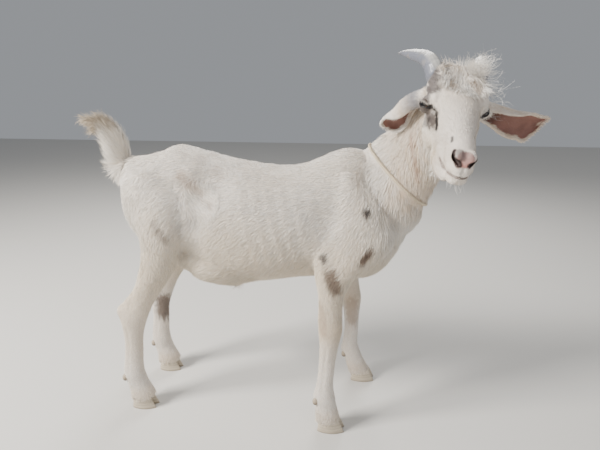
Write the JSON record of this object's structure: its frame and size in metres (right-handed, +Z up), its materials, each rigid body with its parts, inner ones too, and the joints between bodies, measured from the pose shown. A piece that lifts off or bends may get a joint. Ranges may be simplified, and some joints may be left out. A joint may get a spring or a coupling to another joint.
{
  "type": "standing nubian goat",
  "caption": "Life-size still model of a young horned goat standing on its hooves, head turned to its right, ears out to the sides, tail raised, a rope collar round the neck",
  "frame": {"origin": "bottom centre of the box round the whole animal, on the ground under its belly", "axes": "+X from tail to chest, +Y to the animal's left, +Z up"},
  "size_m": [1.007, 0.4828, 0.8495],
  "materials": {
    "coat": "short white fur over a cream skin",
    "horn": "grey keratin, finely ridged",
    "hoof": "tan grey keratin",
    "eye": "wet dark amber",
    "rope": "cream twisted rope"
  },
  "bodies": {
    "root": {"collar": "rope", "dewclaw_fore_left_inner": "hoof", "dewclaw_fore_left_outer": "hoof", "dewclaw_fore_right_inner": "hoof", "dewclaw_fore_right_outer": "hoof", "dewclaw_hind_left_inner": "hoof", "dewclaw_hind_left_outer": "hoof", "dewclaw_hind_right_inner": "hoof", "dewclaw_hind_right_outer": "hoof", "ear_left": "coat", "ear_right": "coat", "eye_left": "eye", "eye_right": "eye", "foreleg_left": "coat", "foreleg_right": "coat", "head": "coat", "hindleg_left": "coat", "hindleg_right": "coat", "hoof_fore_left_inner": "hoof", "hoof_fore_left_outer": "hoof", "hoof_fore_right_inner": "hoof", "hoof_fore_right_outer": "hoof", "hoof_hind_left_inner": "hoof", "hoof_hind_left_outer": "hoof", "hoof_hind_right_inner": "hoof", "hoof_hind_right_outer": "hoof", "horn_left": "horn", "horn_right": "horn", "neck": "coat", "tail": "coat", "torso": "coat"}
  },
  "joints": []
}
